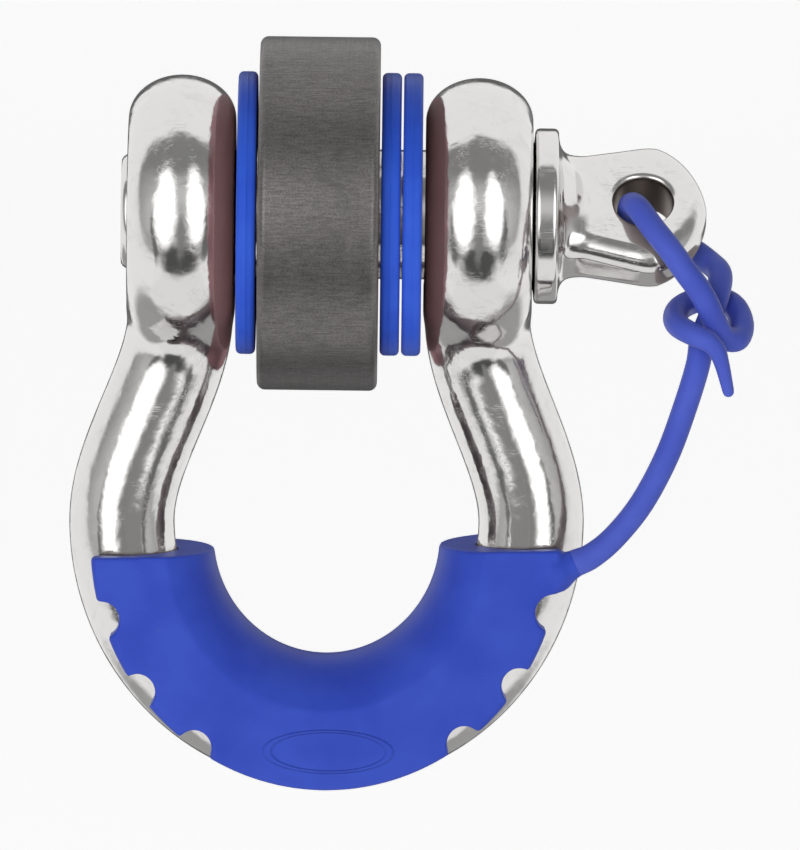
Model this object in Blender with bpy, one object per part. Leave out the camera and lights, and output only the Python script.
"""Screw-pin bow shackle with a moulded isolator boot, three pin washers and a steel load ring.

The pin's axis is the X axis and the bow hangs down along -Z, so the load runs along Z. The eye of
the pin is at +X, and the front of the shackle faces -Y. The origin is on the pin's axis, midway
between the two ears.
"""

from math import acos, asin, cos, hypot, pi, radians, sin, sqrt

import bmesh
import bpy
from mathutils import Matrix, Vector

MM = 0.001

# Bow: a round bar bent to an omega, with a forged eye on each end
BAR_RADIUS = 8.95 * MM
JAW_GAP = 32.2 * MM
EAR_WIDTH = 18.2 * MM
EAR_RADIUS = 23.3 * MM
EAR_RIM_DEPTH = 7.3 * MM
LEG_TOP_Z = -17.0 * MM
BOW_CENTRE_Z = -52.5 * MM
BOW_RADIUS = 34.8 * MM
BOW_DEEPENING = 1.055
NECK_FILLET = 5.0 * MM

# Screw pin
PIN_RADIUS = 11.0 * MM
PIN_CLEARANCE = 0.3 * MM
PIN_TIP_STANDS_OUT = 1.1 * MM
THREAD_PITCH = 2.8 * MM
THREAD_DEPTH = 1.3 * MM
COLLAR_RADIUS = 14.9 * MM
COLLAR_WIDTH = 4.0 * MM

# Flat eye on the pin, turned about the pin's axis so that its face looks forwards and up
LUG_TURN = radians(44)
LUG_LENGTH = 25.2 * MM
LUG_ROOT_HALF_WIDTH = 9.6 * MM
LUG_WIDENING = 0.235
LUG_STRAIGHT = 13.0 * MM
LUG_HALF_THICKNESS = 4.6 * MM
LUG_EDGE = 2.0 * MM
LUG_HOLE_RADIUS = 5.0 * MM
LUG_HOLE_FROM_COLLAR = 14.4 * MM

# What is threaded on the pin between the ears
WASHER_RADIUS = 24.0 * MM
WASHER_WIDTH = 3.3 * MM
WASHER_EDGE = 1.2 * MM
RING_RADIUS = 30.0 * MM
RING_WIDTH = 20.4 * MM
RING_EDGE = 1.5 * MM
BORE_CLEARANCE = 0.35 * MM
STACK_GAP = 0.35 * MM

# Isolator boot, a clip-on saddle laid round its own centre, a little below that of the bow
BOOT_CENTRE_Z = -54.9 * MM
BOOT_TOP_Z = -56.5 * MM
BOOT_SHIFT = radians(1.5)
BOOT_HALF_THICKNESS = 13.0 * MM
SADDLE_RADIUS = 19.2 * MM
SHOULDER_RADIUS = 27.2 * MM
BOOT_EDGE_RADIUS = 40.0 * MM
BOOT_CORNER = 1.2 * MM
BOOT_GRIP_GAP = 0.35 * MM
SCALLOP_RADIUS = 3.0 * MM
SCALLOP_ANGLES = (35.0, 54.0, 73.0)

# Lock tether: moulded on to the boot, through the pin's eye and tied round itself
TETHER_RADIUS = 2.1 * MM
TETHER_BOSS_RADIUS = 2.45 * MM
TETHER_BOSS_LENGTH = 4.2 * MM

EAR_CENTRE_X = JAW_GAP / 2 + EAR_WIDTH / 2
EAR_OUTER_X = JAW_GAP / 2 + EAR_WIDTH
PIN_TIP_X = -EAR_OUTER_X - PIN_TIP_STANDS_OUT
COLLAR_START_X = EAR_OUTER_X + STACK_GAP
COLLAR_END_X = COLLAR_START_X + COLLAR_WIDTH
LUG_HOLE_X = COLLAR_END_X + LUG_HOLE_FROM_COLLAR


def clear_scene():
    for obj in list(bpy.data.objects):
        bpy.data.objects.remove(obj, do_unlink=True)


def finish(name, colour, roughness, metallic):
    material = bpy.data.materials.new(name)
    material.use_nodes = True
    shader = material.node_tree.nodes["Principled BSDF"]
    shader.inputs["Base Color"].default_value = (*colour, 1)
    shader.inputs["Roughness"].default_value = roughness
    shader.inputs["Metallic"].default_value = metallic
    return material


def solid(name, points, faces, material=None):
    """A closed mesh object with its faces turned outwards."""
    mesh = bpy.data.meshes.new(name)
    mesh.from_pydata([tuple(p) for p in points], [], faces)
    shape = bmesh.new()
    shape.from_mesh(mesh)
    bmesh.ops.recalc_face_normals(shape, faces=shape.faces)
    shape.to_mesh(mesh)
    shape.free()
    mesh.shade_smooth()
    mesh.set_sharp_from_angle(angle=radians(35))
    obj = bpy.data.objects.new(name, mesh)
    bpy.context.scene.collection.objects.link(obj)
    if material:
        mesh.materials.append(material)
    return obj


def tool(obj):
    """Marks an object as a cutter or a joined-on shape that isn't a piece of its own."""
    obj.hide_render = True
    obj.display_type = "WIRE"
    return obj


def combine(obj, operation, other):
    boolean = obj.modifiers.new(f"{operation.lower()} {other.name}", "BOOLEAN")
    boolean.operation = operation
    boolean.object = tool(other)
    boolean.solver = "EXACT"


def arc(centre, radius, start, end, steps):
    """Points on a circle, from one angle to another, both ends included."""
    turns = [start + (end - start) * i / steps for i in range(steps + 1)]
    return [(centre[0] + radius * cos(a), centre[1] + radius * sin(a)) for a in turns]


def loft(name, rings, material=None, closed=False):
    """Joins rings of equal point counts, and caps both ends unless the last meets the first."""
    count = len(rings[0])
    points = [p for ring in rings for p in ring]
    spans = len(rings) if closed else len(rings) - 1
    faces = []
    for i in range(spans):
        low = i * count
        high = (i + 1) % len(rings) * count
        for j in range(count):
            k = (j + 1) % count
            faces.append((low + j, low + k, high + k, high + j))
    if not closed:
        faces.append(tuple(range(count)))
        faces.append(tuple(len(points) - 1 - i for i in range(count)))
    return solid(name, points, faces, material)


def turned(name, profile, segments, material=None, hollow=False):
    """Turns a profile of (x, radius) points about the X axis. A hollow one is a closed loop."""
    rings = []
    for x, radius in profile:
        turns = [2 * pi * j / segments for j in range(segments)]
        rings.append([(x, radius * cos(a), radius * sin(a)) for a in turns])
    return loft(name, rings, material, closed=hollow)


# ---------------------------------------------------------------- bow


def smoothstep(t):
    t = min(1.0, max(0.0, t))
    return t * t * (3 - 2 * t)


def leg_x(z):
    """How far the bar's centre line is from the middle plane at this height of a leg."""
    reach = smoothstep((LEG_TOP_Z - z) / (LEG_TOP_Z - BOW_CENTRE_Z))
    return EAR_CENTRE_X + (BOW_RADIUS - EAR_CENTRE_X) * reach


def deepened(z):
    """The bow's lower half is a little deeper than a half circle, and the boot follows it."""
    return BOW_CENTRE_Z + (z - BOW_CENTRE_Z) * BOW_DEEPENING


def bow_line():
    """Centre line of the bar as (x, z), from the left ear round the bottom to the right ear."""
    levels = [4.0, -8.0, -15.0, -18.5, -20.5, -22.5, -24.5, -26.5, -30, -34, -38, -42, -46, -49.5]
    right = [(leg_x(z * MM), z * MM) for z in levels]
    left = [(-x, z) for x, z in right]
    bottom = [(x, deepened(z)) for x, z in arc((0, BOW_CENTRE_Z), BOW_RADIUS, pi, 2 * pi, 26)]
    return left + bottom + right[::-1]


def neck_half_depth(z):
    """Half of the leg's depth front to back, which flares into the round ear."""
    fillet_z = -sqrt((EAR_RADIUS + NECK_FILLET) ** 2 - (BAR_RADIUS + NECK_FILLET) ** 2)
    touch_z = fillet_z * EAR_RADIUS / (EAR_RADIUS + NECK_FILLET)
    rise = min(z, touch_z) - fillet_z
    if rise <= 0:
        return BAR_RADIUS
    return BAR_RADIUS + NECK_FILLET - sqrt(NECK_FILLET**2 - rise**2)


def bar_rings(line, sides):
    rings = []
    for i, (x, z) in enumerate(line):
        before = line[max(i - 1, 0)]
        after = line[min(i + 1, len(line) - 1)]
        along = hypot(after[0] - before[0], after[1] - before[1])
        side = ((after[1] - before[1]) / along, -(after[0] - before[0]) / along)
        depth = neck_half_depth(z)
        ring = []
        for j in range(sides):
            a = 2 * pi * j / sides
            out = BAR_RADIUS * cos(a)
            ring.append((x + side[0] * out, depth * sin(a), z + side[1] * out))
        rings.append(ring)
    return rings


def ear_profile():
    """Section of an ear: flat cheeks and a half-elliptic rim."""
    flat_radius = EAR_RADIUS - EAR_RIM_DEPTH
    half = EAR_WIDTH / 2
    rim = [pi * i / 10 - pi / 2 for i in range(11)]
    return [(half * sin(a), flat_radius + EAR_RIM_DEPTH * cos(a)) for a in rim]


def make_bow_body(material):
    bow = loft("bow_body", bar_rings(bow_line(), 24), material)
    for side, name in ((-1, "left"), (1, "right")):
        profile = [(side * EAR_CENTRE_X + x, r) for x, r in ear_profile()]
        combine(bow, "UNION", turned(f"{name}_ear", profile, 40))
        inner, outer = side * JAW_GAP / 2, side * EAR_OUTER_X
        bore = PIN_RADIUS + PIN_CLEARANCE
        chamfer = 0.7 * MM
        past = side * MM
        ends = [
            (inner - past, bore + chamfer + MM),
            (inner + side * chamfer, bore),
            (outer - side * chamfer, bore),
            (outer + past, bore + chamfer + MM),
        ]
        combine(bow, "DIFFERENCE", turned(f"{name}_bore", ends, 40))
    return bow


# ---------------------------------------------------------------- screw pin


def thread_ridge(name, start_x, end_x, segments):
    """The thread's ridge as one helical bar, sunk into the core at both ends."""
    core = PIN_RADIUS - THREAD_DEPTH
    sunk = 0.4 * MM
    half = THREAD_PITCH * 0.46
    crest_half = THREAD_PITCH * 0.08
    turns = (end_x - start_x) / THREAD_PITCH
    count = round(turns * segments)
    rings = []
    for i in range(count + 1):
        a = 2 * pi * i / segments
        x = start_x + THREAD_PITCH * i / segments
        ends = min(i, count - i) / segments
        height = (THREAD_DEPTH + 0.2 * MM) * smoothstep(ends * 2.5) - 0.2 * MM
        section = ((-half, -sunk), (-crest_half, height), (crest_half, height), (half, -sunk))
        rings.append([(x + u, (core + h) * cos(a), (core + h) * sin(a)) for u, h in section])
    return loft(name, rings)


def pin_profile():
    core = PIN_RADIUS - THREAD_DEPTH
    thread_end = -JAW_GAP / 2 + 0.5 * MM
    edge = 0.8 * MM
    return [
        (PIN_TIP_X, 0.35 * PIN_RADIUS),
        (PIN_TIP_X, core - edge),
        (PIN_TIP_X + 0.9 * MM, core),
        (thread_end - THREAD_DEPTH, core),
        (thread_end, PIN_RADIUS),
        (COLLAR_START_X, PIN_RADIUS),
        (COLLAR_START_X, COLLAR_RADIUS - edge),
        (COLLAR_START_X + edge * 0.3, COLLAR_RADIUS - edge * 0.3),
        (COLLAR_START_X + edge, COLLAR_RADIUS),
        (COLLAR_END_X - edge, COLLAR_RADIUS),
        (COLLAR_END_X - edge * 0.3, COLLAR_RADIUS - edge * 0.3),
        (COLLAR_END_X, COLLAR_RADIUS - edge),
        (COLLAR_END_X, 0.35 * PIN_RADIUS),
    ]


def root_flare(distance):
    """Extra half size of the lug near the collar, from the fillet between the two."""
    fillet = 3.0 * MM
    if distance >= fillet:
        return 0.0
    return fillet - sqrt(fillet**2 - (fillet - max(distance, 0.0)) ** 2)


def lug_half_width(distance):
    """Half width of the flat lug at a distance from the collar: it widens, then rounds off."""
    widen = LUG_ROOT_HALF_WIDTH + LUG_WIDENING * distance
    if distance <= LUG_STRAIGHT:
        return widen
    t = (distance - LUG_STRAIGHT) / (LUG_LENGTH - LUG_STRAIGHT)
    return min(widen, lug_half_width(LUG_STRAIGHT) + MM) * (1 - min(t, 1.0) ** 2.2) ** 0.62


def lug_half_thickness(distance):
    taper = 1.15 * MM * (1 - smoothstep(distance / (16 * MM)))
    return LUG_HALF_THICKNESS + taper + root_flare(distance)


def lug_outline():
    """Outline of the lug's upper half and end, as (distance from collar, half width)."""
    sunk = -1.5 * MM
    steps = [0.8, 1.8, 3.0, 5.5, 8.0, 10.5, 13.0, 15.5, 17.7, 19.5, 21.2, 22.6, 23.7, 24.6]
    distances = [sunk, 0.0] + [s * MM for s in steps]
    half = [(d, lug_half_width(d) + 0.8 * root_flare(d)) for d in distances]
    return half + [(LUG_LENGTH, 0.0)] + [(d, -w) for d, w in half[::-1]]


def make_lug():
    """The lug as a stack of outlines, drawn in at the top and bottom to round the edges."""
    outline = lug_outline()
    tangents = []
    for i, point in enumerate(outline):
        before = outline[max(i - 1, 0)]
        after = outline[min(i + 1, len(outline) - 1)]
        along = hypot(after[0] - before[0], after[1] - before[1])
        tangents.append(((after[0] - before[0]) / along, (after[1] - before[1]) / along))
    rings = []
    for degrees in (-80, -45, -15, 15, 45, 80):
        turn = radians(degrees)
        ring = []
        for (d, w), (td, tw) in zip(outline, tangents):
            edge = LUG_EDGE + root_flare(d)
            inset = edge * (1 - cos(turn))
            # The root keeps its length, so that it still meets the collar.
            inward_d = d + tw * inset if d > 0 else d
            face = lug_half_thickness(d) - edge * (1 - abs(sin(turn)))
            ring.append((COLLAR_END_X + inward_d, w - td * inset, face if degrees > 0 else -face))
        rings.append(ring)
    lug = loft("lug", rings)
    # Drawn with its face along Z: turned so that the face looks forwards and up.
    lug.data.transform(Matrix.Rotation(pi / 2 - LUG_TURN, 4, "X"))
    return lug


def lug_hole():
    """Cutter for the lug's hole, flared at both mouths."""
    reach = LUG_HALF_THICKNESS
    flare = 1.2 * MM
    half = [(0.0, LUG_HOLE_RADIUS), (reach - flare, LUG_HOLE_RADIUS)]
    half.append((reach - 0.35 * flare, LUG_HOLE_RADIUS + 0.2 * flare))
    half.append((reach + 0.1 * MM, LUG_HOLE_RADIUS + 0.9 * flare))
    half.append((reach + 3 * MM, LUG_HOLE_RADIUS + 2.6 * flare))
    profile = [(-d, r) for d, r in half[:0:-1]] + half
    hole = turned("lug_hole", profile, 32)
    hole.data.transform(Matrix.Rotation(-pi / 2, 4, "Y"))
    hole.data.transform(Matrix.Translation((LUG_HOLE_X, 0, 0)))
    hole.data.transform(Matrix.Rotation(pi / 2 - LUG_TURN, 4, "X"))
    return hole


def make_screw_pin(material):
    pin = turned("screw_pin", pin_profile(), 40, material)
    ridge_end = -JAW_GAP / 2 - THREAD_DEPTH
    combine(pin, "UNION", thread_ridge("thread_ridge", PIN_TIP_X + 1.7 * MM, ridge_end, 24))
    combine(pin, "UNION", make_lug())
    combine(pin, "DIFFERENCE", lug_hole())
    return pin


# ---------------------------------------------------------------- washers and load ring


def rounded_ring_profile(centre_x, width, outer, edge, steps):
    """Closed profile of a ring with a plain bore and rounded outer edges."""
    inner = PIN_RADIUS + BORE_CLEARANCE
    low, high = centre_x - width / 2, centre_x + width / 2
    profile = [(low, inner)]
    profile += arc((low + edge, outer - edge), edge, pi, pi / 2, steps)
    profile += arc((high - edge, outer - edge), edge, pi / 2, 0, steps)
    profile.append((high, inner))
    return profile


def make_stack(washer_material, ring_material):
    """Washer, load ring and two more washers, packed from the left ear with small gaps."""
    left_x = -JAW_GAP / 2 + STACK_GAP
    places = {}
    for name, width in (
        ("washer_left", WASHER_WIDTH),
        ("load_ring", RING_WIDTH),
        ("washer_right_inner", WASHER_WIDTH),
        ("washer_right_outer", WASHER_WIDTH),
    ):
        places[name] = left_x + width / 2
        left_x += width + STACK_GAP
    for name, centre_x in places.items():
        if name == "load_ring":
            profile = rounded_ring_profile(centre_x, RING_WIDTH, RING_RADIUS, RING_EDGE, 2)
            turned(name, profile, 48, ring_material, hollow=True)
        else:
            profile = rounded_ring_profile(centre_x, WASHER_WIDTH, WASHER_RADIUS, WASHER_EDGE, 2)
            turned(name, profile, 40, washer_material, hollow=True)


# ---------------------------------------------------------------- isolator boot


def boot_section(turn):
    """Section of the boot at an angle from straight down, as (radius, depth, is fixed)."""
    drop = BOW_CENTRE_Z - BOOT_CENTRE_Z
    bar_at = sqrt(BOW_RADIUS**2 - (drop * sin(turn)) ** 2) - drop * cos(turn)
    half = BOOT_HALF_THICKNESS
    rise = SHOULDER_RADIUS - SADDLE_RADIUS
    arch_radius = (half**2 + rise**2) / (2 * rise)
    arch_turn = asin(half / arch_radius)
    arch_centre = (SADDLE_RADIUS + arch_radius, 0.0)
    front = arc((BOOT_EDGE_RADIUS - BOOT_CORNER, -half + BOOT_CORNER), BOOT_CORNER, 0, -pi / 2, 2)
    arch = arc(arch_centre, arch_radius, pi + arch_turn, pi - arch_turn, 8)
    back = arc((BOOT_EDGE_RADIUS - BOOT_CORNER, half - BOOT_CORNER), BOOT_CORNER, pi / 2, 0, 2)
    grip = BAR_RADIUS + BOOT_GRIP_GAP
    mouth = acos((BOOT_EDGE_RADIUS - 0.4 * MM - bar_at) / grip)
    channel = arc((bar_at, 0.0), grip, mouth, 2 * pi - mouth, 14)
    return front + arch + back + channel


def boot_point(radius, depth, share):
    """Places a section point round the boot, so that both end faces lie level."""
    end_turn = acos((BOOT_CENTRE_Z - BOOT_TOP_Z) / radius)
    turn = share * end_turn
    return (radius * sin(turn), depth, BOOT_CENTRE_Z - radius * cos(turn))


def lay_on_bow(obj):
    """Slides a round shape a little way round the bow, and deepens it as the bow is."""
    centre = Vector((0, 0, BOW_CENTRE_Z))
    slide = Matrix.Translation(centre) @ Matrix.Rotation(-BOOT_SHIFT, 4, "Y")
    obj.data.transform(slide @ Matrix.Translation(-centre))
    for vertex in obj.data.vertices:
        vertex.co.z = deepened(vertex.co.z)


def make_isolator_boot(material):
    stations = 32
    rings = []
    for i in range(stations + 1):
        share = 2 * i / stations - 1
        section = boot_section(share * pi / 2)
        rings.append([boot_point(r, y, share) for r, y in section])
    boot = loft("isolator_boot", rings, material)
    lay_on_bow(boot)
    for number, degrees in enumerate(SCALLOP_ANGLES):
        for side in (-1, 1):
            a = side * radians(degrees)
            across = BOOT_HALF_THICKNESS + MM
            ends = [(-across, SCALLOP_RADIUS), (across, SCALLOP_RADIUS)]
            cutter = turned(f"scallop_{number}_{side}", ends, 16)
            cutter.data.transform(Matrix.Rotation(pi / 2, 4, "Z"))
            place = (BOOT_EDGE_RADIUS * sin(a), 0, BOOT_CENTRE_Z - BOOT_EDGE_RADIUS * cos(a))
            cutter.data.transform(Matrix.Translation(place))
            lay_on_bow(cutter)
            combine(boot, "DIFFERENCE", cutter)
    combine(boot, "UNION", tether_boss())
    return boot


# ---------------------------------------------------------------- lock tether


def tether_boss():
    """Stub on the boot's edge that the tether grows out of, with a small gap to it."""
    route = tether_route()
    root = Vector(route[0][:3])
    along = (Vector(route[1][:3]) - root).normalized()
    ends = [(-TETHER_BOSS_LENGTH, TETHER_BOSS_RADIUS - 0.2 * MM), (-STACK_GAP, TETHER_BOSS_RADIUS)]
    boss = turned("tether_boss", ends, 14)
    boss.data.transform(along.to_track_quat("X", "Z").to_matrix().to_4x4())
    boss.data.transform(Matrix.Translation(root))
    return boss


def at_lug(x, above, across):
    """Millimetres along the pin, above the lug's middle plane and across it, as (x, y, z)."""
    c, s = cos(LUG_TURN), sin(LUG_TURN)
    return (x, across * s - above * c, above * s + across * c)


def tether_route():
    """Hand-laid route as (x, y, z, radius): up from the boot, through the eye and tied."""
    thick = TETHER_RADIUS / MM
    rise = [
        (42.3, -10.2, -58.0, 2.35), (45.2, -10.2, -56.6, 2.2), (49.0, -10.2, -53.3),
        (53.5, -9.9, -47.5), (57.6, -9.6, -39.5), (60.6, -9.4, -31.0), (62.6, -9.4, -24.0),
        (63.2, -8.9, -19.8), (64.6, -7.8, -16.0), (65.8, -5.4, -12.6), (66.3, -1.2, -9.6),
    ]
    through_eye = [
        (64.8, -7.2, -4.2), (61.0, -7.6, -0.6), (56.6, -8.2, 1.0), (52.8, -7.4, 1.2),
        (51.0, -4.2, 0.6), (50.8, 0.0, 0.2), (51.0, 4.0, -0.5), (52.2, 7.1, -3.6),
        (54.6, 7.5, -8.0), (57.6, 7.1, -12.4), (60.3, 5.4, -15.8),
    ]
    knot = [
        (62.4, -14.6, -10.4), (64.0, -14.2, -13.2), (65.3, -13.2, -16.2), (66.9, -12.0, -18.9),
        (69.2, -9.6, -19.4), (70.0, -5.8, -17.4), (68.8, -1.8, -14.9), (66.0, 0.6, -13.8),
        (62.6, 0.0, -14.0), (59.8, -3.0, -14.9), (58.7, -7.6, -16.0), (59.2, -12.4, -17.0, 2.05),
        (61.6, -16.2, -18.0, 1.95), (64.0, -17.5, -18.9, 1.8), (65.6, -17.6, -20.5, 1.55),
        (66.5, -17.0, -22.9, 1.3), (67.2, -16.2, -25.6, 1.12), (67.9, -15.5, -28.6, 0.95),
    ]
    points = rise + [at_lug(*p) for p in through_eye] + knot
    return [tuple(v * MM for v in (*p[:3], p[3] if len(p) > 3 else thick)) for p in points]


def through(points, per_span):
    """A smooth curve through every point, as a list of points on it."""
    points = [Vector(p) for p in points]
    ends = [2 * points[0] - points[1], *points, 2 * points[-1] - points[-2]]
    curve = []
    for a, b, c, d in zip(ends, ends[1:], ends[2:], ends[3:]):
        for step in range(per_span):
            t = step / per_span
            bend = (2 * a - 5 * b + 4 * c - d) * t**2 + (3 * b - a - 3 * c + d) * t**3
            curve.append((2 * b + (c - a) * t + bend) / 2)
    return [*curve, points[-1]]


def make_lock_tether(material):
    data = bpy.data.curves.new("lock_tether", "CURVE")
    data.dimensions = "3D"
    data.bevel_depth = TETHER_RADIUS
    data.bevel_resolution = 3
    data.use_fill_caps = True
    places = through(tether_route(), 2)
    spline = data.splines.new("POLY")
    spline.points.add(len(places) - 1)
    for point, place in zip(spline.points, places):
        point.co = (*place[:3], 1)
        point.radius = place[3] / TETHER_RADIUS
    data.materials.append(material)
    tether = bpy.data.objects.new("lock_tether", data)
    bpy.context.scene.collection.objects.link(tether)


def main():
    clear_scene()
    steel = finish("polished_steel", (0.72, 0.72, 0.70), 0.12, 1.0)
    grey_steel = finish("satin_grey_steel", (0.13, 0.125, 0.12), 0.45, 0.85)
    urethane = finish("blue_urethane", (0.045, 0.075, 0.55), 0.4, 0.0)
    washer_urethane = finish("washer_urethane", (0.03, 0.10, 0.66), 0.38, 0.0)
    pin_steel = finish("pin_steel", (0.74, 0.73, 0.71), 0.14, 1.0)
    make_bow_body(steel)
    make_screw_pin(pin_steel)
    make_stack(washer_urethane, grey_steel)
    make_isolator_boot(urethane)
    make_lock_tether(urethane)


main()
